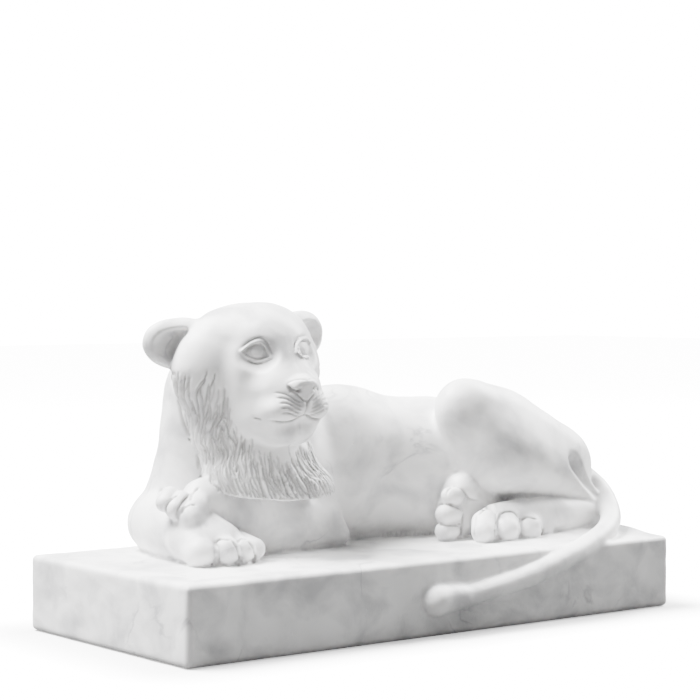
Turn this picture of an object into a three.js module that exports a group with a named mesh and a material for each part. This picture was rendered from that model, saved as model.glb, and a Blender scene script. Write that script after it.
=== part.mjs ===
// A lion lying on a slab, both carved from one block of white marble.
// Millimetres. +X runs along the slab from the lion's head to its rump, +Y goes to the back, +Z is up.
// The origin is the centre of the slab's underside.
import * as THREE from "three";

// Driving dimensions
const SLAB = { length: 450, width: 205, height: 55, edge: 4, rise: 5 };
const TOP = SLAB.height;
const HEAD = { x: -91, y: 0, z: 190, lean: 2.2, eyeSpread: 21.7, eyeForward: 21.5, eyeUp: 12.8, eyeTurn: -23 };
const MARBLE = 0xe9e8e6;

// Fineness of the solid
const CELL = 2.6;
const FACES = 9600;

const clamp = (v, low, high) => Math.min(high, Math.max(low, v));
const ease = (v, from, to) => {
  const t = clamp((v - from) / (to - from), 0, 1);
  return t * t * (3 - 2 * t);
};

// Two distances joined with a fillet of the given softness, and their difference
const join = (a, b, soft) => {
  const h = Math.max(soft - Math.abs(a - b), 0) / soft;
  return Math.min(a, b) - (h * h * soft) / 4;
};
const cut = (a, b, soft) => -join(-a, b, soft);

// An egg-shaped mass. turn holds its rotations about X, Y and Z in degrees.
function egg(centre, radii, turn = [0, 0, 0]) {
  const [rx, ry, rz] = radii;
  const [cx, cy, cz] = centre;
  const angles = turn.map((a) => THREE.MathUtils.degToRad(a));
  const e = new THREE.Matrix4().makeRotationFromEuler(new THREE.Euler(...angles, "ZYX")).elements;
  const least = Math.min(rx, ry, rz);
  const distance = (x, y, z) => {
    const dx = x - cx;
    const dy = y - cy;
    const dz = z - cz;
    const u = (e[0] * dx + e[1] * dy + e[2] * dz) / rx;
    const v = (e[4] * dx + e[5] * dy + e[6] * dz) / ry;
    const w = (e[8] * dx + e[9] * dy + e[10] * dz) / rz;
    const near = Math.sqrt(u * u + v * v + w * w);
    const steep = Math.sqrt((u * u) / (rx * rx) + (v * v) / (ry * ry) + (w * w) / (rz * rz));
    return steep > 1e-9 ? (near * (near - 1)) / steep : -least;
  };
  return { distance, centre, reach: Math.max(rx, ry, rz) };
}

// A limb through joints [x, y, z, radius], tapering from each to the next
function limb(...joints) {
  const low = [0, 1, 2].map((i) => Math.min(...joints.map((j) => j[i] - j[3])));
  const high = [0, 1, 2].map((i) => Math.max(...joints.map((j) => j[i] + j[3])));
  const centre = low.map((v, i) => (v + high[i]) / 2);
  const distance = (x, y, z) => {
    let best = Infinity;
    for (let i = 0; i + 1 < joints.length; i++) {
      const [ax, ay, az, ar] = joints[i];
      const [bx, by, bz, br] = joints[i + 1];
      const ux = bx - ax;
      const uy = by - ay;
      const uz = bz - az;
      const along = (x - ax) * ux + (y - ay) * uy + (z - az) * uz;
      const t = clamp(along / (ux * ux + uy * uy + uz * uz), 0, 1);
      const gap = Math.hypot(x - ax - ux * t, y - ay - uy * t, z - az - uz * t);
      best = Math.min(best, gap - ar - (br - ar) * t);
    }
    return best;
  };
  return { distance, centre, reach: Math.hypot(...high.map((v, i) => v - centre[i])) };
}

// Masses blended one after another. A mass too far away to matter is skipped.
const blend = (soft, masses) => (x, y, z) => {
  let d = Infinity;
  for (const m of masses) {
    const [cx, cy, cz] = m.centre;
    const apart = Math.hypot(x - cx, y - cy, z - cz) - m.reach;
    if (apart > 40 || apart > d + soft) {
      d = Math.min(d, apart);
      continue;
    }
    const own = m.distance(x, y, z);
    d = d === Infinity ? own : join(d, own, m.soft ?? soft);
  }
  return d;
};

// The slab, dressed by hand: its top rises a little towards the back of the right end
function slab(x, y, z) {
  const lift = SLAB.rise * ease(x, 40, 225) * ease(y, -SLAB.width / 2, -45);
  const halfHeight = (TOP + lift) / 2;
  const dx = Math.abs(x) - SLAB.length / 2 + SLAB.edge;
  const dy = Math.abs(y) - SLAB.width / 2 + SLAB.edge;
  const dz = Math.abs(z - halfHeight) - halfHeight + SLAB.edge;
  const outside = Math.hypot(Math.max(dx, 0), Math.max(dy, 0), Math.max(dz, 0));
  return outside + Math.min(Math.max(dx, dy, dz), 0) - SLAB.edge;
}

const torso = blend(22, [
  egg([-104, 56, 92], [42, 38, 42]), // chest
  egg([-60, 54, 112], [62, 42, 58]), // ribs
  egg([12, 48, 112], [76, 40, 62]), // belly and back
  egg([88, 32, 107], [60, 38, 56], [0, 0, -10]), // loins
  egg([158, 13, 96], [50, 37, 52]), // pelvis
  egg([144, 20, 76], [58, 32, 28]), // the thigh underneath
]);

const neck = blend(18, [
  limb([-104, 54, 90, 39], [-103, 46, 143, 39.5], [-102, 40, 170, 40.5], [-97, 30, 187, 39]),
  { ...egg([-128, 62, 74], [25, 26, 32]), soft: 10 }, // right shoulder
  limb([-60, 34, 136, 34], [-28, 28, 78, 20]), // left upper arm
]);

const hindLegMass = blend(12, [
  egg([146, -12, 118], [76, 34, 41], [0, 24, 0]), // thigh
  egg([90, -14, 156], [24, 20, 22]), // knee
  egg([118, -12, 148], [40, 22, 24], [0, 14, 0]), // above the knee
  limb([104, -20, 134, 20], [142, -32, 112, 20], [180, -36, 95, 14], [207, -38, 76, 9]), // calf
  { ...egg([187, -12, 109], [30, 28, 29]), soft: 10 }, // buttock
  egg([120, -23, 118], [30, 24, 29]), // bulk of the calf
]);
const kneeHollow = egg([50, -46, 124], [32, 28, 30]);
const hockHollow = limb([179, -47, 111, 8.5], [186, -48, 100, 5.5], [201, -48, 85, 3.5]);
const metatarsus = limb([206, -38, 70, 12], [160, -42, 71, 14], [126, -40, 72, 13]);

function hindLeg(x, y, z) {
  let d = cut(hindLegMass(x, y, z), kneeHollow.distance(x, y, z), 5);
  d = cut(d, hockHollow.distance(x, y, z), 4);
  return join(d, metatarsus.distance(x, y, z), 3);
}

// A paw is a row of toes. Each toe runs from its knuckle to its tip.
const paw = (soft, rows) => blend(soft, rows.map(([x, y, z, radius, back, up, turn = 0]) => {
  const a = THREE.MathUtils.degToRad(turn);
  return limb([x + back * Math.sin(a), y + back * Math.cos(a), z + up, radius], [x, y, z, radius]);
}));

const rightForeleg = blend(10, [
  limb([-138, 64, 76, 24], [-150, 26, 76, 23], [-152, -1, 73, 20]),
  egg([-148, -12, 70], [26, 22, 16]),
]);
const rightForeToes = paw(1.5, [
  [-165.5, -29, 64.5, 10.5, 16, 3, 8],
  [-147.5, -36, 65.5, 9.5, 16, 4, 3],
  [-132.5, -35, 65, 8.5, 16, 4, 0],
  [-119.5, -29, 64, 8, 14, 3, -6],
]);

const leftForeleg = blend(12, [
  limb([-30, 22, 76, 21], [-84, 12, 80, 23], [-116, 6, 84, 16.5], [-134, 5, 92, 13.5]),
  limb([-24, 10, 66, 12], [-86, 8, 66, 13]), // underside along the slab
  { ...egg([-22, 6, 63], [13, 9, 9]), soft: 5 }, // point of the elbow
  egg([-141, 6, 101], [14, 12, 11], [0, -20, 0]), // wrist
  { ...egg([-152, -4, 96], [9, 9, 8], [0, -20, 0]), soft: 4 }, // knuckles
]);
const leftForeToes = paw(1.5, [
  [-161.5, -12, 87.5, 9.5, 8, 5, 60],
  [-169, -4, 93, 7.6, 8, 5, 60],
  [-173.5, 3, 97, 6.4, 8, 5, 60],
]);

const leftHindToes = paw(1.5, [
  [79, -49, 64, 9, 8, 9, 40],
  [101, -51, 64, 10, 9, 8, 40],
  [124, -51, 64, 10, 9, 5, 40],
  [142, -47, 62, 8.5, 8, 2, 40],
]);

// The right hind foot shows its sole, with its toes one above another
const rightHindFoot = blend(8, [
  egg([94, -6, 78], [21, 14, 26], [0, 10, 0]),
  egg([85, -14, 70], [9, 10, 14]),
  limb([88, -15, 93, 12], [120, -15, 79, 12], [140, -14, 70, 12]),
]);
const rightHindToes = paw(1.5, [
  [70, -21, 89, 7, 5, 0, 90],
  [65, -21, 75.5, 7.5, 8, 0, 90],
  [64, -21, 62.5, 7.3, 7, 0, 90],
  [91, -22, 92, 6, 6, 0, 20],
]);

// A smooth path of joints through the given stops
function smoothPath(stops, count) {
  return [...Array(count).keys()].map((n) => {
    const t = (n / (count - 1)) * (stops.length - 1);
    const i = Math.min(Math.floor(t), stops.length - 2);
    const f = t - i;
    const [a, b, c, d] = [-1, 0, 1, 2].map((k) => stops[clamp(i + k, 0, stops.length - 1)]);
    return b.map((v, m) => 0.5 * (2 * v + (c[m] - a[m]) * f + (2 * a[m] - 5 * v + 4 * c[m] - d[m]) * f * f +
      (3 * v - a[m] - 3 * c[m] + d[m]) * f ** 3));
  });
}

const tail = limb(...smoothPath([
  [196, 6, 118, 11],
  [213, -12, 100, 9],
  [217, -35, 86, 8],
  [207, -55, 74, 7.6],
  [190, -73, 65, 7.6],
  [161, -90, 57, 7.8],
  [118, -102, 47.5, 7.6],
  [86, -104, 39, 7.6],
  [53, -104.5, 33, 7.6],
  [19, -104.5, 28, 7.6],
  [2, -104.5, 27, 8],
], 34));
const tailTip = limb([0, -104.5, 27.5, 8.5], [-10, -104, 27, 11], [-17, -104, 27, 11.5]);

// The head faces -Y. Its forms are mirrored, in head coordinates: side, forward, up.
const face = blend(9, [
  egg([0, -8, 8], [41, 39, 39.5]), // skull
  egg([16, -16, 20], [32, 27, 25]), // broad crown
  egg([0, 14, 20], [23, 14.5, 17]), // brow
  egg([25, 8, -3], [15, 17, 20]), // cheekbone
  egg([19, 6, -24], [18, 22, 24]), // cheek
  limb([5, 19.6, 15, 11], [5.5, 30.9, -0.7, 10.3], [5.5, 41.5, -14.5, 10]), // edges of the nose's bridge
  { ...limb([0, 19.6, 16, 12], [0, 30.9, -0.4, 10.9], [0, 41.5, -14, 10.6]), soft: 4 }, // middle of the bridge
  egg([12, 26, -14], [15.5, 18, 16]), // side of the muzzle
  { ...egg([12, 37.5, -26.5], [15, 14.5, 11]), soft: 6 }, // whisker pad
  egg([6, 25, -42], [14, 15, 11.5]), // chin
  egg([14, 17, -31], [16, 18, 15]), // jaw
]);
const ruffMasses = blend(10, [
  egg([-4, -14, -2], [63, 30, 47]),
  egg([-5, -12, -40], [49, 28, 42]),
  egg([-14, -6, -74], [34, 24, 22]),
  egg([4, 1, -66], [36, 24, 26]),
  egg([9, 8, -90], [43, 26, 24]),
]);
const crownTuft = egg([46, -26, 25], [15, 9, 11]);
const ear = egg([55, -28, 20], [26, 9.5, 18.5], [0, -8, -16]);
const earHollow = egg([57, -18, 18], [21, 12, 13.5], [0, -8, -16]);
const eyeTurn = [0, 0, HEAD.eyeTurn];
const eyeball = egg([19.2, 15.5, HEAD.eyeUp], [12, 8, 9], eyeTurn);
const socket = egg([24.5, 27.9, HEAD.eyeUp], [14.5, 8, 10.5], eyeTurn);
const nosePad = egg([0, 44, -13.5], [15.5, 12, 11]);

// The ruff ends in a hem that overhangs the forelegs and rises towards the neck
function ruff(side, forward, up) {
  const towards = -0.788 * side - 0.616 * forward;
  const hem = -96 + 14 * clamp((towards + 20) / 82, 0, 1) ** 1.6;
  return cut(ruffMasses(side, forward, up), up - hem, 1.5);
}

function nose(side, forward, up) {
  const front = 0.985 * (forward - 54) - 0.17 * (up + 8);
  const flank = 0.78 * (side - 14.5) - 0.625 * (up + 9);
  return cut(cut(nosePad.distance(side, forward, up), -flank, 3), -front, 1.5);
}

function head(x, y, z) {
  const lean = THREE.MathUtils.degToRad(HEAD.lean);
  const right = x - HEAD.x;
  const rise = z - HEAD.z;
  const side = right * Math.cos(lean) + rise * Math.sin(lean);
  const up = rise * Math.cos(lean) - right * Math.sin(lean);
  const flank = Math.abs(side);
  const forward = HEAD.y - y;
  let d = face(flank, forward, up);
  d = cut(d, socket.distance(flank, forward, up), 5);
  d = join(d, eyeball.distance(flank, forward, up), 1.5);
  d = join(d, nose(flank, forward, up), 1.5);
  d = join(d, ruff(side, forward, up), 5);
  let lobe = join(ear.distance(flank, forward, up), crownTuft.distance(flank, forward, up), 8);
  lobe = cut(lobe, earHollow.distance(flank, forward, up), 3);
  return join(d, lobe, 4);
}

// The whole carving
function lion(x, y, z) {
  let d = join(torso(x, y, z), hindLeg(x, y, z), 8);
  d = join(d, neck(x, y, z), 14);
  d = join(d, join(rightHindFoot(x, y, z), rightHindToes(x, y, z), 2.5), 3);
  d = join(d, leftHindToes(x, y, z), 3);
  d = join(d, join(rightForeleg(x, y, z), rightForeToes(x, y, z), 3), 5);
  d = join(d, join(leftForeleg(x, y, z), leftForeToes(x, y, z), 3), 4);
  d = join(d, head(x, y, z), 2.5);
  d = join(d, tail.distance(x, y, z), 4);
  d = join(d, slab(x, y, z), 2.5);
  d = join(d, join(tail.distance(x, y, z), tailTip.distance(x, y, z), 5), 2);
  return Math.max(d, -z);
}

// Marching tetrahedra: each cell is six tetrahedra round its long diagonal, which always close up
function surfaceOf(field, low, high, cell) {
  const count = low.map((v, i) => Math.ceil((high[i] - v) / cell) + 1);
  const [nx, ny, nz] = count;
  const at = (i, j, k) => (k * ny + j) * nx + i;
  const place = (n) => {
    const i = n % nx;
    const j = Math.floor(n / nx) % ny;
    const k = Math.floor(n / (nx * ny));
    return [low[0] + i * cell, low[1] + j * cell, low[2] + k * cell];
  };
  const value = new Float32Array(nx * ny * nz).fill(NaN);
  const sample = (n) => {
    if (Number.isNaN(value[n])) {
      const d = field(...place(n));
      value[n] = d === 0 ? 1e-4 : d;
    }
    return value[n];
  };
  const step = 4;
  const far = step * cell * Math.sqrt(3);
  const paths = [[1, 3, 7], [1, 5, 7], [2, 3, 7], [2, 6, 7], [4, 5, 7], [4, 6, 7]];
  const points = [];
  const faces = [];
  const seen = new Map();
  const crossing = (a, b) => {
    const key = a < b ? a * value.length + b : b * value.length + a;
    if (!seen.has(key)) {
      const t = clamp(value[a] / (value[a] - value[b]), 0.04, 0.96);
      const p = place(a);
      const q = place(b);
      seen.set(key, points.push(p.map((v, i) => v + (q[i] - v) * t)) - 1);
    }
    return seen.get(key);
  };
  const tetrahedron = (corners) => {
    const inside = corners.filter((n) => value[n] < 0);
    const outside = corners.filter((n) => value[n] > 0);
    if (!inside.length || !outside.length) return;
    const loop = inside.length === 2
      ? [[inside[0], outside[0]], [inside[0], outside[1]], [inside[1], outside[1]], [inside[1], outside[0]]]
      : inside.length === 1
        ? outside.map((n) => [inside[0], n])
        : inside.map((n) => [n, outside[0]]);
    const ring = loop.map(([a, b]) => crossing(a, b));
    const [p, q, r] = ring.slice(0, 3).map((n) => new THREE.Vector3(...points[n]));
    const normal = q.clone().sub(p).cross(r.clone().sub(p));
    const outwards = new THREE.Vector3(...place(outside[0])).sub(new THREE.Vector3(...place(inside[0])));
    if (normal.dot(outwards) < 0) ring.reverse();
    faces.push([ring[0], ring[1], ring[2]]);
    if (ring.length === 4) faces.push([ring[0], ring[2], ring[3]]);
  };
  for (let k = 0; k + 1 < nz; k += step) {
    for (let j = 0; j + 1 < ny; j += step) {
      for (let i = 0; i + 1 < nx; i += step) {
        const middle = [i, j, k].map((v, a) => low[a] + (v + step / 2) * cell);
        if (Math.abs(field(...middle)) > far) continue;
        for (let c = k; c < Math.min(k + step, nz - 1); c++) {
          for (let b = j; b < Math.min(j + step, ny - 1); b++) {
            for (let a = i; a < Math.min(i + step, nx - 1); a++) {
              const corner = [...Array(8).keys()].map((m) => at(a + (m & 1), b + ((m >> 1) & 1), c + (m >> 2)));
              const signs = corner.map(sample);
              if (signs.every((v) => v > 0) || signs.every((v) => v < 0)) continue;
              for (const path of paths) tetrahedron([corner[0], ...path.map((m) => corner[m])]);
            }
          }
        }
      }
    }
  }
  return { points, faces };
}

// Thins a closed mesh by collapsing the edges whose loss moves its surface least, down to a number of faces
function thin({ points, faces }, target) {
  const around = points.map(() => new Set());
  faces.forEach((f, n) => f.forEach((v) => around[v].add(n)));
  const quadric = points.map(() => new Float64Array(10));
  const cross = (p, q, r) => {
    const a = [q[0] - p[0], q[1] - p[1], q[2] - p[2]];
    const b = [r[0] - p[0], r[1] - p[1], r[2] - p[2]];
    return [a[1] * b[2] - a[2] * b[1], a[2] * b[0] - a[0] * b[2], a[0] * b[1] - a[1] * b[0]];
  };
  const normalOf = (f) => cross(...f.map((v) => points[v]));
  for (const f of faces) {
    const n = normalOf(f);
    const area = Math.hypot(...n) || 1e-12;
    const [a, b, c] = n.map((v) => v / area);
    const d = -(a * points[f[0]][0] + b * points[f[0]][1] + c * points[f[0]][2]);
    const terms = [a * a, a * b, a * c, a * d, b * b, b * c, b * d, c * c, c * d, d * d];
    for (const v of f) terms.forEach((t, i) => (quadric[v][i] += t * (area + 0.2)));
  }
  const error = (q, [x, y, z]) =>
    q[0] * x * x + 2 * q[1] * x * y + 2 * q[2] * x * z + 2 * q[3] * x + q[4] * y * y +
    2 * q[5] * y * z + 2 * q[6] * y + q[7] * z * z + 2 * q[8] * z + q[9];
  const best = (q, p, r) => {
    const m = new THREE.Matrix3().set(q[0], q[1], q[2], q[1], q[4], q[5], q[2], q[5], q[7]);
    const middle = p.map((v, i) => (v + r[i]) / 2);
    const choices = [p, r, middle];
    const size = q[0] + q[4] + q[7];
    if (m.determinant() > 1e-5 * size ** 3) {
      const s = new THREE.Vector3(-q[3], -q[6], -q[8]).applyMatrix3(m.invert()).toArray();
      if (Math.hypot(...s.map((v, i) => v - middle[i])) < 2 * Math.hypot(...p.map((v, i) => v - r[i]))) choices.push(s);
    }
    return choices.reduce((a, b) => (error(q, b) < error(q, a) ? b : a));
  };
  // A heap of edges, cheapest first. An entry is stale once either end has moved.
  const stamp = points.map(() => 0);
  const heap = [];
  const lift = (n) => {
    for (let up = (n - 1) >> 1; n > 0 && heap[up].cost > heap[n].cost; n = up, up = (n - 1) >> 1)
      [heap[up], heap[n]] = [heap[n], heap[up]];
  };
  const take = () => {
    const first = heap[0];
    const last = heap.pop();
    if (heap.length) {
      heap[0] = last;
      for (let n = 0; ;) {
        let child = 2 * n + 1;
        if (child >= heap.length) break;
        if (child + 1 < heap.length && heap[child + 1].cost < heap[child].cost) child++;
        if (heap[child].cost >= heap[n].cost) break;
        [heap[child], heap[n]] = [heap[n], heap[child]];
        n = child;
      }
    }
    return first;
  };
  const offer = (a, b) => {
    const q = quadric[a].map((v, i) => v + quadric[b][i]);
    const spot = best(q, points[a], points[b]);
    const length = Math.hypot(...points[a].map((v, i) => v - points[b][i]));
    heap.push({ a, b, spot, cost: Math.max(error(q, spot), 0) + 1e-4 * length, when: stamp[a] + stamp[b] });
    lift(heap.length - 1);
  };
  const neighbours = (v) => new Set([...around[v]].flatMap((n) => faces[n]).filter((w) => w !== v));
  faces.forEach((f) => f.forEach((v, i) => v < f[(i + 1) % 3] && offer(v, f[(i + 1) % 3])));
  const turnsOver = (v, other, spot) => [...around[v]].some((n) => {
    const f = faces[n];
    if (f.includes(other)) return false;
    const before = normalOf(f);
    const after = cross(...f.map((w) => (w === v ? spot : points[w])));
    const dot = before[0] * after[0] + before[1] * after[1] + before[2] * after[2];
    return dot < 0.3 * Math.hypot(...before) * Math.hypot(...after);
  });
  let left = faces.length;
  while (left > target && heap.length) {
    const { a, b, spot, when } = take();
    if (!around[a].size || !around[b].size || when !== stamp[a] + stamp[b]) continue;
    const near = neighbours(a);
    if (!near.has(b)) continue;
    const shared = [...neighbours(b)].filter((v) => near.has(v));
    if (shared.length !== 2 || turnsOver(a, b, spot) || turnsOver(b, a, spot)) continue;
    for (const n of [...around[b]]) {
      if (faces[n].includes(a)) {
        faces[n].forEach((v) => around[v].delete(n));
        faces[n] = null;
        left--;
      } else {
        faces[n] = faces[n].map((v) => (v === b ? a : v));
        around[a].add(n);
      }
    }
    around[b].clear();
    quadric[b].forEach((v, i) => (quadric[a][i] += v));
    points[a] = spot;
    stamp[a] += points.length;
    stamp[b] += points.length;
    for (const v of neighbours(a)) offer(Math.min(a, v), Math.max(a, v));
  }
  return { points, faces: faces.filter(Boolean) };
}

const low = [-SLAB.length / 2 - 6.5, -SLAB.width / 2 - 18, -2.1];
const high = [SLAB.length / 2 + 12, SLAB.width / 2 + 8, 250];
const solid = thin(surfaceOf(lion, low, high, CELL), FACES);

const geometry = new THREE.BufferGeometry();
geometry.setAttribute("position", new THREE.Float32BufferAttribute(solid.points.flat(), 3));
geometry.setIndex(solid.faces.flat());
geometry.computeVertexNormals();

const marble = new THREE.MeshStandardMaterial({ color: MARBLE, roughness: 0.5, metalness: 0 });
const carving = new THREE.Mesh(geometry, marble);
carving.name = "lion_on_slab";

const sculpture = new THREE.Group();
sculpture.add(carving);

export default sculpture;
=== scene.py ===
import math
import random

import bmesh
import bpy
import numpy as np
from mathutils import Euler, Matrix, Vector
from mathutils.bvhtree import BVHTree


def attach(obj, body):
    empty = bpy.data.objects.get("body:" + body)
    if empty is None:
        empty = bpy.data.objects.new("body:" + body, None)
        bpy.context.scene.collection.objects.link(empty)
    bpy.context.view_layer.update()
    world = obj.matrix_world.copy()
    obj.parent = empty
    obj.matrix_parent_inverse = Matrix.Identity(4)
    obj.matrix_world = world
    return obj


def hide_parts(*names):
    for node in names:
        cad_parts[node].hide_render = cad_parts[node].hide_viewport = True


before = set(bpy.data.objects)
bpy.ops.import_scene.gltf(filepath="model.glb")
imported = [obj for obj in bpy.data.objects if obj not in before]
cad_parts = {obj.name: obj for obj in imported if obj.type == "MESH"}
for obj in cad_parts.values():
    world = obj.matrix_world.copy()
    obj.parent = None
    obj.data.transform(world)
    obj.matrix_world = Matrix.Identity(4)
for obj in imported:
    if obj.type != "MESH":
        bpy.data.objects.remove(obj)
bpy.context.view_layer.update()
print("frame loaded")

# The carving is worked out in millimetres and stored in metres.
mm = 0.001

slabSettings = {"length": 450.0, "width": 205.0, "height": 55.0, "edge": 4.0, "rise": 5.0}
headSettings = {"x": -91.0, "y": 0.0, "z": 190.0, "lean": 2.2, "eyeUp": 12.8, "eyeTurn": -23.0}


# Forms. Each mass gives the distance from points to its surface, below zero inside.

def join(a, b, soft):
    h = np.maximum(soft - np.abs(a - b), 0) / soft
    return np.minimum(a, b) - h * h * soft / 4


def cut(a, b, soft):
    return -join(-a, b, soft)


def ease(value, low, high):
    t = np.clip((value - low) / (high - low), 0, 1)
    return t * t * (3 - 2 * t)


def egg(centre, radii, turn=(0, 0, 0), soft=None):
    centre = np.array(centre, float)
    radii = np.array(radii, float)
    rotation = np.array(Euler([math.radians(a) for a in turn], "XYZ").to_matrix())

    def distance(p):
        local = (p - centre) @ rotation / radii
        near = np.linalg.norm(local, axis=1)
        steep = np.linalg.norm(local / radii, axis=1)
        return near * (near - 1) / np.maximum(steep, 1e-9)

    return {"centre": centre, "reach": radii.max(), "distance": distance, "soft": soft}


def limb(*joints, soft=None):
    joints = np.array(joints, float)
    low = (joints[:, :3] - joints[:, 3:]).min(0)
    high = (joints[:, :3] + joints[:, 3:]).max(0)
    centre = (low + high) / 2

    def distance(p):
        best = np.full(len(p), 1e9)
        for start, end in zip(joints[:-1], joints[1:]):
            step = end[:3] - start[:3]
            t = np.clip((p - start[:3]) @ step / (step @ step), 0, 1)
            gap = np.linalg.norm(p - start[:3] - t[:, None] * step, axis=1)
            best = np.minimum(best, gap - start[3] - (end[3] - start[3]) * t)
        return best

    return {"centre": centre, "reach": np.linalg.norm(high - centre), "distance": distance, "soft": soft}


def blend(soft, masses):
    def distance(p):
        d = np.full(len(p), 80.0)
        for mass in masses:
            apart = np.linalg.norm(p - mass["centre"], axis=1) - mass["reach"]
            near = (apart < 40) & (apart < d + soft)
            d = np.minimum(d, np.where(near, d, np.maximum(apart, 3)))
            if near.any():
                d[near] = join(d[near], mass["distance"](p[near]), mass["soft"] or soft)
        return d

    return distance


# A paw is a row of toes. Each toe runs from its knuckle to its tip.
def paw(soft, rows):
    toes = []
    for x, y, z, radius, back, up, turn in rows:
        a = math.radians(turn)
        knuckle = [x + back * math.sin(a), y + back * math.cos(a), z + up, radius]
        toes.append(limb(knuckle, [x, y, z, radius]))
    return blend(soft, toes)


def slabDistance(p):
    s = slabSettings
    x, y, z = p.T
    lift = s["rise"] * ease(x, 40, 225) * ease(y, -s["width"] / 2, -45)
    half = (s["height"] + lift) / 2
    dx = np.abs(x) - s["length"] / 2 + s["edge"]
    dy = np.abs(y) - s["width"] / 2 + s["edge"]
    dz = np.abs(z - half) - half + s["edge"]
    outside = np.sqrt(np.maximum(dx, 0) ** 2 + np.maximum(dy, 0) ** 2 + np.maximum(dz, 0) ** 2)
    return outside + np.minimum(np.maximum(np.maximum(dx, dy), dz), 0) - s["edge"]


torso = blend(22, [
    egg([-104, 56, 92], [42, 38, 42]),  # chest
    egg([-60, 54, 112], [62, 42, 58]),  # ribs
    egg([12, 48, 112], [76, 40, 62]),  # belly and back
    egg([88, 32, 107], [60, 38, 56], [0, 0, -10]),  # loins
    egg([158, 13, 96], [50, 37, 52]),  # pelvis
    egg([144, 20, 76], [58, 32, 28]),  # the thigh underneath
])

neck = blend(18, [
    limb([-104, 54, 90, 39], [-103, 46, 143, 39.5], [-102, 40, 170, 40.5], [-97, 30, 187, 39]),
    egg([-128, 62, 74], [25, 26, 32], soft=10),  # right shoulder
    limb([-60, 34, 136, 34], [-28, 28, 78, 20]),  # left upper arm
])

hindLegMass = blend(12, [
    egg([146, -12, 118], [76, 34, 41], [0, 24, 0]),  # thigh
    egg([90, -14, 156], [24, 20, 22]),  # knee
    egg([118, -12, 148], [40, 22, 24], [0, 14, 0]),  # above the knee
    limb([104, -20, 134, 20], [142, -32, 112, 20], [180, -36, 95, 14], [207, -38, 76, 9]),  # calf
    egg([187, -12, 109], [30, 28, 29], soft=10),  # buttock
    egg([120, -23, 118], [30, 24, 29]),  # bulk of the calf
])
kneeHollow = egg([50, -46, 124], [32, 28, 30])
hockHollow = limb([179, -47, 111, 8.5], [186, -48, 100, 5.5], [201, -48, 85, 3.5])
underKnee = egg([62, -42, 112], [25, 26, 24])
metatarsus = limb([206, -38, 70, 12], [160, -42, 71, 14], [126, -40, 72, 13.5], [96, -38, 70, 12])


def hindLeg(p):
    d = cut(hindLegMass(p), kneeHollow["distance"](p), 5)
    d = cut(d, underKnee["distance"](p), 6)
    d = cut(d, hockHollow["distance"](p), 4)
    return join(d, metatarsus["distance"](p), 3)


rightForeleg = blend(10, [
    limb([-138, 64, 76, 24], [-150, 26, 76, 23], [-152, -1, 73, 20]),
    egg([-148, -12, 70], [26, 22, 16]),
])
rightForeToes = paw(1.5, [
    [-165.5, -29, 64.5, 10.5, 16, 3, 8],
    [-147.5, -36, 65.5, 9.5, 16, 4, 3],
    [-132.5, -35, 65, 8.5, 16, 4, 0],
    [-119.5, -29, 64, 8, 14, 3, -6],
])

leftForeleg = blend(12, [
    limb([-30, 22, 76, 21], [-84, 12, 80, 23], [-116, 6, 84, 16.5], [-134, 5, 92, 13.5]),
    limb([-24, 10, 66, 12], [-86, 8, 66, 13]),  # underside along the slab
    egg([-22, 6, 63], [13, 9, 9], soft=5),  # point of the elbow
    egg([-141, 6, 101], [14, 12, 11], [0, -20, 0]),  # wrist
    egg([-152, -4, 96], [9, 9, 8], [0, -20, 0], soft=4),  # knuckles
])
leftForeToes = paw(1.5, [
    [-161.5, -12, 87.5, 9.5, 8, 5, 60],
    [-169, -4, 93, 7.6, 8, 5, 60],
    [-173.5, 3, 97, 6.4, 8, 5, 60],
])

leftHindToes = paw(3, [
    [80, -49, 64, 9.5, 8, 5.5, 40],
    [101, -51, 64, 10.5, 9, 5, 40],
    [124, -51, 64, 10.5, 9, 3, 40],
    [142, -47, 62, 8.5, 8, 2, 40],
])

rightHindFoot = blend(8, [
    egg([94, -6, 78], [21, 14, 26], [0, 10, 0]),
    egg([85, -14, 70], [9, 10, 14]),
    limb([88, -15, 93, 12], [120, -15, 79, 12], [140, -14, 70, 12]),
])
rightHindToes = paw(1.5, [
    [70, -21, 89, 7, 5, 0, 90],
    [65, -21, 75.5, 7.5, 8, 0, 90],
    [64, -21, 62.5, 7.3, 7, 0, 90],
    [91, -22, 92, 6, 6, 0, 20],
])


# A smooth path through the given stops
def smoothPath(stops, steps):
    stops = np.array(stops, float)
    out = []
    for t in np.linspace(0, len(stops) - 1, steps):
        i = min(int(t), len(stops) - 2)
        f = t - i
        a, b, c, d = (stops[max(0, min(len(stops) - 1, i + k))] for k in (-1, 0, 1, 2))
        square = (2 * a - 5 * b + 4 * c - d) * f * f
        cube = (3 * b - a - 3 * c + d) * f ** 3
        out.append(0.5 * (2 * b + (c - a) * f + square + cube))
    return out


tail = limb(*smoothPath([
    [196, 6, 118, 11],
    [213, -12, 100, 9],
    [217, -35, 86, 8],
    [207, -55, 74, 7.6],
    [190, -73, 65, 7.6],
    [161, -90, 57, 7.8],
    [118, -102, 47.5, 7.6],
    [86, -104, 39, 7.6],
    [53, -104.5, 33, 7.6],
    [19, -104.5, 28, 7.6],
    [2, -104.5, 27, 8],
], 34))
tailTip = limb([6, -104.5, 27.5, 8], [-8, -104, 26.5, 10.6], [-15, -104, 26, 11])

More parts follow.
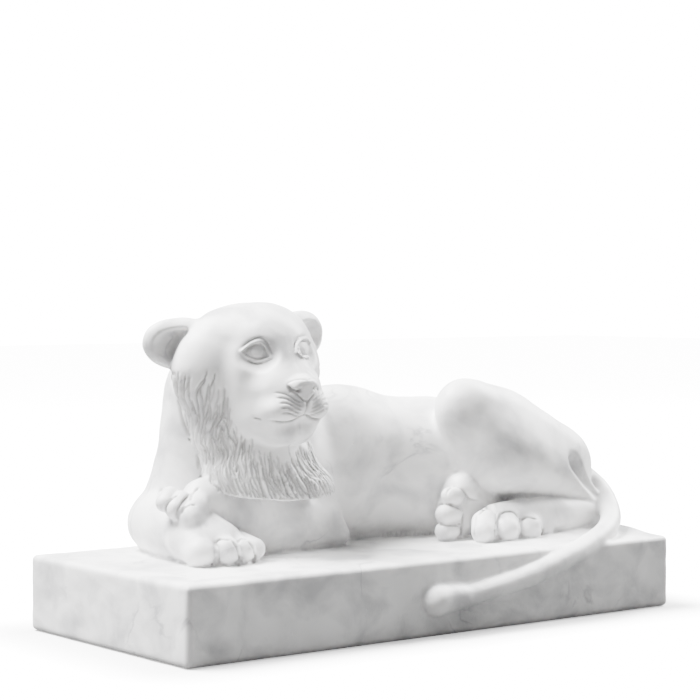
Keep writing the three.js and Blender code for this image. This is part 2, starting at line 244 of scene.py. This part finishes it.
# Head coordinates are side, forward and up. The face is mirrored.
face = blend(9, [
    egg([0, -8, 8], [41, 39, 39.5]),  # skull
    egg([16, -16, 20], [32, 27, 25]),  # broad crown
    egg([0, 14, 20], [23, 14.5, 17]),  # brow
    egg([25, 8, -3], [15, 17, 20]),  # cheekbone
    egg([19, 6, -24], [18, 22, 24]),  # cheek
    limb([5, 19.6, 15, 11], [5.5, 30.9, -0.7, 10.3], [5.5, 41.5, -14.5, 10]),  # edge of the bridge
    limb([0, 19.6, 16, 12], [0, 30.9, -0.4, 10.9], [0, 41.5, -14, 10.6], soft=4),  # middle of it
    egg([12, 26, -14], [15.5, 18, 16]),  # side of the muzzle
    egg([12, 37.5, -26.5], [15, 14.5, 11], soft=6),  # whisker pad
    egg([0, 38, -25], [9, 14.5, 10], soft=5),  # between the pads
    egg([6, 28, -43], [14, 15, 11]),  # chin
    egg([14, 19, -32], [16, 18, 15]),  # jaw
])
ruffMasses = blend(10, [
    egg([-4, -14, -2], [63, 30, 47]),
    egg([-5, -12, -40], [49, 28, 42]),
    egg([-14, -6, -74], [34, 24, 22]),
    egg([4, 1, -66], [36, 24, 26]),
    egg([9, 8, -90], [43, 26, 24]),
    egg([-14, -2, -84], [33, 24, 24]),
])
crownTuft = egg([46, -26, 25], [15, 9, 11])
ear = egg([55, -28, 20], [26, 9.5, 18.5], [0, -8, -16])
earHollow = egg([57, -18, 18], [21, 12, 13.5], [0, -8, -16])
eyeTurn = [0, 0, headSettings["eyeTurn"]]
eyeball = egg([18.2, 16, headSettings["eyeUp"]], [12, 8, 9], eyeTurn)
socket = egg([24.5, 27.9, headSettings["eyeUp"]], [14.5, 8, 10.5], eyeTurn)
nosePad = egg([0, 44, -13.5], [15.5, 12, 11])


# The ruff ends in a hem that overhangs the forelegs and rises towards the neck.
# The hem's height is given at distances towards the neck.
hemLine = ([-40, -15, 8, 21, 29, 36, 46, 70], [-95, -93.5, -90.5, -89, -86, -82, -76, -68])


def ruff(q):
    towards = -0.788 * q[:, 0] - 0.616 * q[:, 1]
    hem = np.interp(towards, hemLine[0], hemLine[1])
    return cut(ruffMasses(q), q[:, 2] - hem, 1.5)


def nose(q):
    front = 0.985 * (q[:, 1] - 54) - 0.17 * (q[:, 2] + 8)
    flank = 0.78 * (q[:, 0] - 14.5) - 0.625 * (q[:, 2] + 9)
    return cut(cut(nosePad["distance"](q), -flank, 3), -front, 1.5)


def toHead(p):
    h = headSettings
    lean = math.radians(h["lean"])
    right = p[:, 0] - h["x"]
    rise = p[:, 2] - h["z"]
    side = right * math.cos(lean) + rise * math.sin(lean)
    up = rise * math.cos(lean) - right * math.sin(lean)
    return np.stack([side, h["y"] - p[:, 1], up], 1)


def fromHead(side, forward, up):
    h = headSettings
    lean = math.radians(h["lean"])
    right = side * math.cos(lean) - up * math.sin(lean)
    rise = side * math.sin(lean) + up * math.cos(lean)
    return Vector((h["x"] + right, h["y"] - forward, h["z"] + rise))


def headDistance(p):
    q = toHead(p)
    half = q.copy()
    half[:, 0] = np.abs(half[:, 0])
    d = face(half)
    d = cut(d, socket["distance"](half), 5)
    d = join(d, eyeball["distance"](half), 1.5)
    d = join(d, nose(half), 1.5)
    d = join(d, ruff(q), 5)
    lobe = join(ear["distance"](half), crownTuft["distance"](half), 8)
    lobe = cut(lobe, earHollow["distance"](half), 3)
    return join(d, lobe, 4)


def carvingDistance(p):
    d = join(torso(p), hindLeg(p), 8)
    d = join(d, neck(p), 14)
    d = join(d, join(rightHindFoot(p), rightHindToes(p), 2.5), 3)
    d = join(d, leftHindToes(p), 3)
    d = join(d, join(rightForeleg(p), rightForeToes(p), 3), 5)
    d = join(d, join(leftForeleg(p), leftForeToes(p), 3), 4)
    h = headSettings
    nearHead = np.linalg.norm(p - [h["x"], h["y"], h["z"] - 25], axis=1) < 135
    head = np.full(len(p), 60.0)
    head[nearHead] = headDistance(p[nearHead])
    d = join(d, head, 2.5)
    tailDistance = tail["distance"](p)
    d = join(d, tailDistance, 4)
    d = join(d, slabDistance(p), 2.5)
    d = join(d, join(tailDistance, tailTip["distance"](p), 5), 2)
    return np.maximum(d, -p[:, 2])


# Mesh helpers

def pointsOf(mesh):
    flat = np.empty(len(mesh.vertices) * 3, np.float32)
    mesh.vertices.foreach_get("co", flat)
    return flat.reshape(-1, 3).astype(float) / mm


def normalsOf(mesh):
    flat = np.empty(len(mesh.vertices) * 3, np.float32)
    mesh.vertex_normals.foreach_get("vector", flat)
    return flat.reshape(-1, 3).astype(float)


def setPoints(mesh, points):
    mesh.vertices.foreach_set("co", (points * mm).astype(np.float32).ravel())
    mesh.update()


def drawOntoForm(mesh, rounds):
    for _ in range(rounds):
        p = pointsOf(mesh)
        taps = np.array([[1, -1, -1], [-1, -1, 1], [-1, 1, -1], [1, 1, 1]], float)
        slope = sum(tap * carvingDistance(p + tap * 0.15)[:, None] for tap in taps) / (4 * 0.15)
        length = np.maximum(np.linalg.norm(slope, axis=1, keepdims=True), 0.4)
        d = carvingDistance(p)[:, None]
        setPoints(mesh, p - np.clip(d, -6, 6) * slope / length ** 2)


def applyModifier(piece, kind, **values):
    modifier = piece.modifiers.new(kind.lower(), kind)
    for name, value in values.items():
        setattr(modifier, name, value)
    bpy.context.view_layer.objects.active = piece
    bpy.ops.object.modifier_apply(modifier=modifier.name)


lionSettings = {
    "firstCell": 2.6,
    "cell": 1.6,
    "triangles": 190000,
}

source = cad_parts["lion_on_slab"]
lionMesh = source.data.copy()
lionMesh.name = "lionCarving"
lion = bpy.data.objects.new("lionCarving", lionMesh)
bpy.context.scene.collection.objects.link(lion)
bm = bmesh.new()
bm.from_mesh(lionMesh)
bmesh.ops.remove_doubles(bm, verts=bm.verts, dist=1e-6)
bm.to_mesh(lionMesh)
bm.free()
applyModifier(lion, "REMESH", mode="VOXEL", voxel_size=lionSettings["firstCell"] * mm)
drawOntoForm(lion.data, 2)
applyModifier(lion, "REMESH", mode="VOXEL", voxel_size=lionSettings["cell"] * mm)
drawOntoForm(lion.data, 2)
print("form drawn:", len(lion.data.vertices), "vertices")


# The head, mane and paws get a closer mesh, for the finer carving.
def fineZone(p):
    q = toHead(p)
    headNear = (np.linalg.norm(q * [1, 1, 0.8] - [0, 5, -22], axis=1) < 88) & (q[:, 2] > -96)
    forePaws = (p[:, 0] < -95) & (p[:, 1] < 12) & (p[:, 2] > 54) & (p[:, 2] < 112)
    hindPaws = (p[:, 0] > 50) & (p[:, 0] < 160) & (p[:, 1] < -2) & (p[:, 2] > 54) & (p[:, 2] < 104)
    return headNear | forePaws | hindPaws


bm = bmesh.new()
bm.from_mesh(lion.data)
fine = fineZone(pointsOf(lion.data))
edges = [e for e in bm.edges if fine[e.verts[0].index] and fine[e.verts[1].index]]
bmesh.ops.subdivide_edges(bm, edges=edges, cuts=1, use_grid_fill=True)
bmesh.ops.triangulate(bm, faces=bm.faces)
bm.to_mesh(lion.data)
bm.free()
drawOntoForm(lion.data, 1)
print("fine zones cut:", len(lion.data.vertices), "vertices")


# Chisel work: strokes that lie on the surface and press it in or raise it.
surface = BVHTree.FromPolygons(
    [Vector(p) for p in pointsOf(lion.data)], [tuple(f.vertices) for f in lion.data.polygons])
points = pointsOf(lion.data)
normals = normalsOf(lion.data)
pressed = np.zeros(len(points))
raised = np.zeros(len(points))


# The camera stands where the slab's edges in the photograph put it.
cameraSettings = {
    "azimuth": -37.995, "elevation": 1.66, "distance": 1.5715,
    "right": -0.00847, "up": 0.20168, "pixels": 2083.6, "frame": 700,
}


def cameraAxes():
    c = cameraSettings
    a = math.radians(c["azimuth"])
    e = math.radians(c["elevation"])
    back = Vector((math.sin(a) * math.cos(e), -math.cos(a) * math.cos(e), math.sin(e)))
    right = Vector((math.cos(a), math.sin(a), 0))
    up = back.cross(right)
    return back * c["distance"] + right * c["right"] + up * c["up"], right, up, back


# The point of the surface that shows at a place in the picture
def seen(u, v):
    place, right, up, back = cameraAxes()
    middle = cameraSettings["frame"] / 2
    ray = right * (u - middle) + up * (middle - v) - back * cameraSettings["pixels"]
    hit = surface.ray_cast(place / mm, ray.normalized())[0]
    return np.array(hit) if hit else None


def seenStroke(stops, width, depth, taper=True):
    stroke([seen(u, v) for u, v in smoothPath(stops, 3 * len(stops) + 4)], width, depth, taper)


def onFace(side, up):
    hit = surface.ray_cast(fromHead(side, 120, up), Vector((0, 1, 0)))[0]
    return np.array(hit) if hit else None


def roundHead(angle, up, middle=-6):
    a = math.radians(angle)
    out = fromHead(150 * math.sin(a), middle + 150 * math.cos(a), up)
    axis = fromHead(0, middle, up)
    hit = surface.ray_cast(out, (axis - out).normalized())[0]
    return np.array(hit) if hit else None


# A positive depth presses the surface in, a negative one raises it.
def stroke(path, width, depth, taper=True):
    path = [p for p in path if p is not None]
    if len(path) < 2:
        return
    path = np.array(path)
    low = path.min(0) - width
    high = path.max(0) + width
    near = np.flatnonzero(((points > low) & (points < high)).all(1))
    if not len(near):
        return
    p = points[near]
    best = np.full(len(p), 1e9)
    along = np.zeros(len(p))
    last = len(path) - 1
    for i in range(last):
        step = path[i + 1] - path[i]
        size = step @ step
        if size > 144 or size < 1e-9:
            continue
        t = np.clip((p - path[i]) @ step / size, 0, 1)
        gap = np.linalg.norm(p - path[i] - t[:, None] * step, axis=1)
        closer = gap < best
        best[closer] = gap[closer]
        along[closer] = (i + t[closer]) / last
    ends = np.clip(np.minimum(along, 1 - along) * 6, 0.15, 1) if taper else 1.0
    reach = width * (0.5 + 0.5 * ends)
    shape = np.clip(1 - best / reach, 0, 1)
    shape = shape * shape * (3 - 2 * shape) * abs(depth) * ends
    target = pressed if depth > 0 else raised
    target[near] = np.maximum(target[near], shape)


def faceStroke(stops, width, depth, both=True, count=14, taper=True):
    for sign in ((1, -1) if both else (1,)):
        stroke([onFace(sign * s, u) for s, u in smoothPath(stops, count)], width, depth, taper)


random.seed(7)

# Eyes: the raised lids, the sharp lines inside and above them, and the iris
# Their stops are places in the picture that the camera sees.
nearEye = {
    "lids": [
        [(240.5, 351.5), (247, 346), (254, 341.8), (260.5, 341), (265, 345), (268.5, 352), (271.5, 357)],
        [(241, 353), (248, 358.5), (257, 361), (265, 360.3), (271.5, 357.5)],
    ],
    "lines": [
        [(240, 350), (246, 344.3), (253, 339.6), (260.5, 338), (266, 341.5), (270, 349.5), (273, 356)],
        [(243.5, 352), (249, 348), (255, 345), (261, 344.3), (264.5, 348), (267.5, 356)],
        [(243.5, 352.6), (250, 356.8), (258, 358.6), (267.5, 357)],
        [(246, 359.5), (255, 363.3), (263, 363.3)],
    ],
    "iris": (257.3, 351.3, 6.6, 6.4),
}
farEye = {
    "lids": [
        [(296.3, 353), (296.8, 345), (300.5, 339.5), (306, 338.5), (309.5, 343)],
        [(297.5, 354), (302, 357.6), (308, 357.5)],
    ],
    "lines": [
        [(294.6, 350), (295.2, 342.5), (299.5, 337), (306, 336)],
        [(298.6, 352), (299, 345.5), (302, 341.5), (306.5, 341.5)],
        [(299, 353), (303, 355.5), (307.5, 354.5)],
    ],
}
eyeCut = {
    "lidWidth": 1.7, "lidHeight": 1.5, "lineWidth": 1.1, "lineDepth": 1.0,
    "irisWidth": 0.8, "irisDepth": 0.45,
}
for eye in (nearEye, farEye):
    for lid in eye["lids"]:
        seenStroke(lid, eyeCut["lidWidth"], -eyeCut["lidHeight"], taper=False)
    for line in eye["lines"]:
        seenStroke(line, eyeCut["lineWidth"], eyeCut["lineDepth"])
u0, v0, wide, high = nearEye["iris"]
ring = [(u0 + wide * math.cos(a), v0 + high * math.sin(a)) for a in np.linspace(0, 2 * math.pi, 13)]
seenStroke(ring, eyeCut["irisWidth"], eyeCut["irisDepth"], taper=False)

# Toe clefts and folds of the paws, as seen in the picture
pawCut = {"width": 1.5, "depth": 1.5}
pawLines = [
    [(214, 541), (218, 549), (219, 559), (217, 567)], [(231, 540), (237, 548), (239, 558), (238, 567)],
    [(247, 540), (253, 548), (255, 558), (253, 565)], [(215, 544), (220, 539.5), (231, 540)],
    [(237, 543), (241, 538.5), (248, 539.5)], [(178, 521), (177, 512), (182, 503), (190, 494)],
    [(166, 514), (166, 506), (172, 499), (179, 494)], [(190, 501), (193, 493), (199, 488)],
    [(157, 499), (158, 493), (163, 488)], [(180, 516), (184, 508), (191, 504.5), (197, 506)],
    [(446, 497), (448.5, 489), (456, 486.5), (464, 491), (469, 499), (480, 500)],
    [(438, 506), (446, 504), (456, 506.5), (464, 511)], [(436, 524), (449, 525), (463, 524)],
    [(464, 512), (462, 525), (461, 538)], [(476, 515), (474, 528), (475, 538)],
    [(499, 511), (496.5, 519), (495, 530), (495, 539)], [(520, 517), (519, 527), (519, 537)],
    [(541, 522), (542, 530), (541, 536)], [(479, 515), (483, 510.5), (490, 509.5), (498, 515)],
    [(500, 515), (505, 512), (513, 512), (519, 519)], [(521, 521), (527, 517), (538, 519)],
]
for line in pawLines:
    seenStroke(line, pawCut["width"], pawCut["depth"])

# Nose and mouth. Each row is a line's stops on the face (side, up), its width and its depth.
muzzle = {
    "noseTop": ([(0, -6.6), (8, -6.2), (14, -8.8)], 1.2, 0.5),
    "nostril": ([(13.6, -9.5), (11.5, -13.2), (7.6, -14), (5.2, -11.6)], 2.0, 2.4),
    "wing": ([(12.5, -14), (7, -17.2), (3, -20.6), (0, -22.4)], 1.5, 1.5),
    "lip": ([(0, -21.5), (0, -31.8)], 1.5, 1.7),
    "mouth": ([(0, -31), (4, -33), (9, -35), (14, -35.8), (19, -35.4), (24, -34.2)], 1.7, 2.2),
    "corner": ([(26.4, -33.6), (29.4, -32.4)], 1.3, 1.4),
    "whiskers": 5, "whiskerWidth": 1.15, "whiskerDepth": 0.95,
}
faceStroke(*muzzle["noseTop"])
faceStroke(*muzzle["nostril"])
faceStroke(*muzzle["wing"], taper=False)
faceStroke(*muzzle["lip"], both=False, taper=False)
faceStroke(*muzzle["mouth"], count=22)
faceStroke(*muzzle["corner"])
for i in range(muzzle["whiskers"]):
    whisker = [(3.5, -22.5 - 2.5 * i), (9, -20 - 2.8 * i), (16, -15.5 - 3.3 * i), (21, -14.5 - 3.7 * i)]
    faceStroke(whisker, muzzle["whiskerWidth"], muzzle["whiskerDepth"])

# The mane: hair strokes behind the cheeks and down the bib, none on the face or the bare neck
mane = {
    "top": 34, "bottom": -96, "rowGap": 7.5, "columnGap": 3.8, "rear": 122,
    "width": (0.9, 1.8), "depth": (0.8, 2.0), "length": (12, 26), "middle": -6,
    "tier": -78, "tierWidth": 2.4, "tierDepth": 1.1, "edgeWidth": 2.2, "edgeDepth": 1.9,
}
# The face's edge: the angle round the head at which the hair starts, for each height
faceEdge = ([-62, -58, -50, -40, -26, -12, 5, 27], [0, 18, 36, 54, 61, 67, 73, 106])


# The hair keeps off the bare neck, the forelegs and the ears.
def onMane(angle, up):
    hit = roundHead(angle, up, mane["middle"])
    if hit is None or abs(headDistance(hit[None])[0]) > 2.5:
        return None
    side, _, rise = toHead(hit[None])[0]
    return None if abs(side) > 46 and rise > 3 else hit


up = mane["top"]
while up > mane["bottom"]:
    angle = -mane["rear"]
    while angle < mane["rear"]:
        start = up + random.uniform(-4, 4)
        place = angle + random.uniform(-1.6, 1.6)
        length = random.uniform(*mane["length"])
        wave = random.uniform(-2.5, 2.5)
        away = math.copysign(6, place) * (1 if start > -45 else 0)
        aside = 11 * ease(-start, 48, 72)
        drift = away + aside + random.uniform(-2, 2)
        width = random.uniform(*mane["width"])
        depth = random.uniform(*mane["depth"])
        angle += mane["columnGap"]
        if abs(place) < np.interp(start, *faceEdge) and start > -62:
            continue
        stops = [
            (place, start),
            (place + drift * 0.2 + wave * 0.5, start - length * 0.33),
            (place + drift * 0.6 - wave * 0.3, start - length * 0.67),
            (place + drift, start - length),
        ]
        stroke([onMane(a, u) for a, u in smoothPath(stops, 9)], width, depth)
    up -= mane["rowGap"]
tier = [onMane(a, mane["tier"] + 2.5 * math.sin(a / 9)) for a in range(-74, 64, 4)]
stroke(tier, mane["tierWidth"], mane["tierDepth"])
rearEdge = [(173, 368), (176, 385), (178, 402), (184, 425), (194, 446), (199, 464), (203, 478)]
seenStroke(rearEdge, mane["edgeWidth"], mane["edgeDepth"])

offset = (raised - pressed)[:, None]
points = points + normals * offset

# A hand-dressed surface is never quite even.
rng = np.random.default_rng(5)
uneven = np.zeros(len(points))
for wavelength, height in ((46, 0.22), (22, 0.12), (11, 0.06)):
    for _ in range(5):
        direction = rng.normal(size=3)
        direction *= 2 * math.pi / wavelength / np.linalg.norm(direction)
        uneven += height / 2.2 * np.sin(points @ direction + rng.uniform(0, 6.28))
base = np.clip(points[:, 2] / 3, 0, 1)
points = points + normals * (uneven * base)[:, None]
points[:, 2] = np.maximum(points[:, 2], 0)
setPoints(lion.data, points)
# Painted shade: the carved grooves get a darker colour, stronger the deeper each is pressed in.
paintedGrooveShade = lion.data.attributes.new("paintedGrooveShade", "FLOAT", "POINT")
paintedGrooveShade.data.foreach_set("value", np.clip(pressed / 1.6, 0, 1).astype(np.float32))
count = sum(len(f.vertices) - 2 for f in lion.data.polygons)
applyModifier(lion, "DECIMATE", ratio=min(1.0, lionSettings["triangles"] / count))
lion.data.shade_smooth()
print("carved:", len(lion.data.polygons), "triangles")


# Marble

def link(tree, fromSocket, toSocket):
    tree.links.new(fromSocket, toSocket)


def marbleMaterial():
    settings = {
        "white": (0.82, 0.815, 0.81, 1),
        "grey": (0.46, 0.46, 0.47, 1),
        "vein": (0.32, 0.32, 0.335, 1),
        # the colour of the painted shade in the carved grooves
        "paintedGrooveShade": (0.30, 0.295, 0.285, 1),
        "roughness": 0.5,
    }
    material = bpy.data.materials.new("whiteMarble")
    material.use_nodes = True
    tree = material.node_tree
    nodes = tree.nodes
    shader = nodes["Principled BSDF"]
    shader.inputs["Roughness"].default_value = settings["roughness"]
    shader.inputs["Subsurface Weight"].default_value = 0.12
    shader.inputs["Subsurface Radius"].default_value = (1.0, 0.95, 0.9)
    shader.inputs["Subsurface Scale"].default_value = 0.004
    place = nodes.new("ShaderNodeTexCoord")

    def noiseNode(scale, detail, distortion=0.0):
        node = nodes.new("ShaderNodeTexNoise")
        node.inputs["Scale"].default_value = scale
        node.inputs["Detail"].default_value = detail
        node.inputs["Distortion"].default_value = distortion
        link(tree, place.outputs["Object"], node.inputs["Vector"])
        return node

    def rampNode(source, stops):
        node = nodes.new("ShaderNodeValToRGB")
        ramp = node.color_ramp
        while len(ramp.elements) < len(stops):
            ramp.elements.new(0.5)
        for element, (position, value) in zip(ramp.elements, stops):
            element.position = position
            element.color = (value, value, value, 1)
        link(tree, source, node.inputs["Fac"])
        return node

    def mixNode(factor, a, b):
        node = nodes.new("ShaderNodeMix")
        node.data_type = "RGBA"
        link(tree, factor, node.inputs["Factor"])
        for socket, value in ((node.inputs[6], a), (node.inputs[7], b)):
            if isinstance(value, tuple):
                socket.default_value = value
            else:
                link(tree, value, socket)
        return node.outputs[2]

    mottle = rampNode(noiseNode(30, 6, 0.4).outputs["Fac"], [(0.44, 0.0), (0.68, 0.85)])
    colour = mixNode(mottle.outputs["Color"], settings["white"], settings["grey"])
    veinBand = rampNode(noiseNode(17, 7, 0.7).outputs["Fac"], [(0.475, 0.0), (0.5, 0.6), (0.525, 0.0)])
    veinMask = rampNode(noiseNode(20, 2).outputs["Fac"], [(0.52, 0.0), (0.64, 1.0)])
    both = nodes.new("ShaderNodeMath")
    both.operation = "MULTIPLY"
    link(tree, veinBand.outputs["Color"], both.inputs[0])
    link(tree, veinMask.outputs["Color"], both.inputs[1])
    colour = mixNode(both.outputs[0], colour, settings["vein"])
    # Painted shade in the carved grooves: the colour darkens towards a grey by how deep each groove is
    # pressed in.
    attribute = nodes.new("ShaderNodeAttribute")
    attribute.attribute_name = "paintedGrooveShade"
    grooveShadeAmount = nodes.new("ShaderNodeMath")
    grooveShadeAmount.operation = "MULTIPLY"
    grooveShadeAmount.inputs[1].default_value = 0.7
    link(tree, attribute.outputs["Fac"], grooveShadeAmount.inputs[0])
    colour = mixNode(grooveShadeAmount.outputs[0], colour, settings["paintedGrooveShade"])
    link(tree, colour, shader.inputs["Base Color"])

    grain = noiseNode(520, 3)
    pits = nodes.new("ShaderNodeTexVoronoi")
    pits.inputs["Scale"].default_value = 240
    link(tree, place.outputs["Object"], pits.inputs["Vector"])
    pitShape = rampNode(pits.outputs["Distance"], [(0.0, 0.0), (0.16, 1.0)])
    pitMask = rampNode(noiseNode(60, 2).outputs["Fac"], [(0.58, 1.0), (0.66, 0.0)])
    pitted = nodes.new("ShaderNodeMath")
    pitted.operation = "MAXIMUM"
    link(tree, pitShape.outputs["Color"], pitted.inputs[0])
    link(tree, pitMask.outputs["Color"], pitted.inputs[1])
    height = nodes.new("ShaderNodeMath")
    height.operation = "MULTIPLY_ADD"
    height.inputs[1].default_value = 0.12
    link(tree, grain.outputs["Fac"], height.inputs[0])
    link(tree, pitted.outputs[0], height.inputs[2])
    bump = nodes.new("ShaderNodeBump")
    bump.inputs["Strength"].default_value = 0.35
    bump.inputs["Distance"].default_value = 0.0006
    link(tree, height.outputs[0], bump.inputs["Height"])
    link(tree, bump.outputs["Normal"], shader.inputs["Normal"])
    return material


lion.data.materials.clear()
lion.data.materials.append(marbleMaterial())
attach(lion, "root")
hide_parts("lion_on_slab")
print("marble done")


# Studio
studio = {
    "floorSize": 14.0,
    "keyEnergy": 520.0, "keySize": 1.2, "keyPlace": (-0.9, 0.7, 2.15),
    "sideEnergy": 300.0, "sideSize": 1.2, "sidePlace": (2.2, 0.05, 1.6),
    "fill": 0.33, "backdrop": 20.0,
    # The floor glows with painted light for the camera: faintly next to the slab, strongly beyond
    # glowReach.
    "floorSeen": 0.92, "floorBounce": 0.1, "floorGlowAtSlab": 0.8, "floorGlow": 14.0, "glowReach": 0.1,
}


def cameraRay(tree):
    return tree.nodes.new("ShaderNodeLightPath").outputs["Is Camera Ray"]


# The floor glows with painted light for the camera, brightening away from the slab, so that only its
# soft shadow shows against white. Light that bounces off the floor meets a dark floor instead.
def floorMaterial():
    material = bpy.data.materials.new("paleFloor")
    material.use_nodes = True
    tree = material.node_tree
    shader = tree.nodes["Principled BSDF"]
    shader.inputs["Roughness"].default_value = 0.9
    seen = cameraRay(tree)
    tone = tree.nodes.new("ShaderNodeMapRange")
    tone.inputs["To Min"].default_value = studio["floorBounce"]
    tone.inputs["To Max"].default_value = studio["floorSeen"]
    link(tree, seen, tone.inputs["Value"])
    link(tree, tone.outputs["Result"], shader.inputs["Base Color"])
    place = tree.nodes.new("ShaderNodeTexCoord")
    halfSlab = (slabSettings["length"] * mm / 2, slabSettings["width"] * mm / 2, 0)
    steps = [("ABSOLUTE", None), ("SUBTRACT", halfSlab), ("MAXIMUM", (0, 0, 0)), ("LENGTH", None)]
    value = place.outputs["Object"]
    for operation, operand in steps:
        node = tree.nodes.new("ShaderNodeVectorMath")
        node.operation = operation
        link(tree, value, node.inputs[0])
        if operand:
            node.inputs[1].default_value = operand
        value = node.outputs["Value"] if operation == "LENGTH" else node.outputs["Vector"]
    # Painted light: the floor's glow, seen only by the camera, rises with distance from the slab.
    glow = tree.nodes.new("ShaderNodeMapRange")
    glow.interpolation_type = "SMOOTHSTEP"
    glow.inputs["From Max"].default_value = studio["glowReach"]
    glow.inputs["To Min"].default_value = studio["floorGlowAtSlab"]
    glow.inputs["To Max"].default_value = studio["floorGlow"]
    link(tree, value, glow.inputs["Value"])
    strength = tree.nodes.new("ShaderNodeMath")
    strength.operation = "MULTIPLY"
    link(tree, glow.outputs["Result"], strength.inputs[0])
    link(tree, seen, strength.inputs[1])
    shader.inputs["Emission Color"].default_value = (1, 1, 1, 1)
    link(tree, strength.outputs[0], shader.inputs["Emission Strength"])
    return material


def studioFloor():
    bm = bmesh.new()
    bmesh.ops.create_grid(bm, x_segments=1, y_segments=1, size=studio["floorSize"] / 2)
    bmesh.ops.translate(bm, verts=bm.verts, vec=(0, 0, -0.0002))
    mesh = bpy.data.meshes.new("floor")
    bm.to_mesh(mesh)
    bm.free()
    floor = bpy.data.objects.new("floor", mesh)
    bpy.context.scene.collection.objects.link(floor)
    mesh.materials.append(floorMaterial())


def softLight(name):
    data = bpy.data.lights.new(name + "Light", "AREA")
    data.size = studio[name + "Size"]
    data.energy = studio[name + "Energy"]
    light = bpy.data.objects.new(name + "Light", data)
    light.location = studio[name + "Place"]
    light.rotation_euler = (Vector((0, 0, 0.1)) - light.location).to_track_quat("-Z", "Y").to_euler()
    bpy.context.scene.collection.objects.link(light)


def studioWorld():
    world = bpy.data.worlds.new("studio")
    bpy.context.scene.world = world
    world.use_nodes = True
    tree = world.node_tree
    background = tree.nodes["Background"]
    background.inputs["Color"].default_value = (1, 1, 1, 1)
    strength = tree.nodes.new("ShaderNodeMapRange")
    strength.inputs["To Min"].default_value = studio["fill"]
    strength.inputs["To Max"].default_value = studio["backdrop"]
    link(tree, cameraRay(tree), strength.inputs["Value"])
    link(tree, strength.outputs["Result"], background.inputs["Strength"])


studioFloor()
softLight("key")
softLight("side")
studioWorld()

def photoCamera():
    place, right, up, back = cameraAxes()
    data = bpy.data.cameras.new("photoCamera")
    data.sensor_width = 36
    data.lens = cameraSettings["pixels"] / cameraSettings["frame"] * 36
    data.clip_end = 100
    camera = bpy.data.objects.new("photoCamera", data)
    camera.matrix_world = Matrix.Translation(place) @ Matrix((right, up, back)).transposed().to_4x4()
    bpy.context.scene.collection.objects.link(camera)
    bpy.context.scene.camera = camera


photoCamera()
print("studio and camera set")
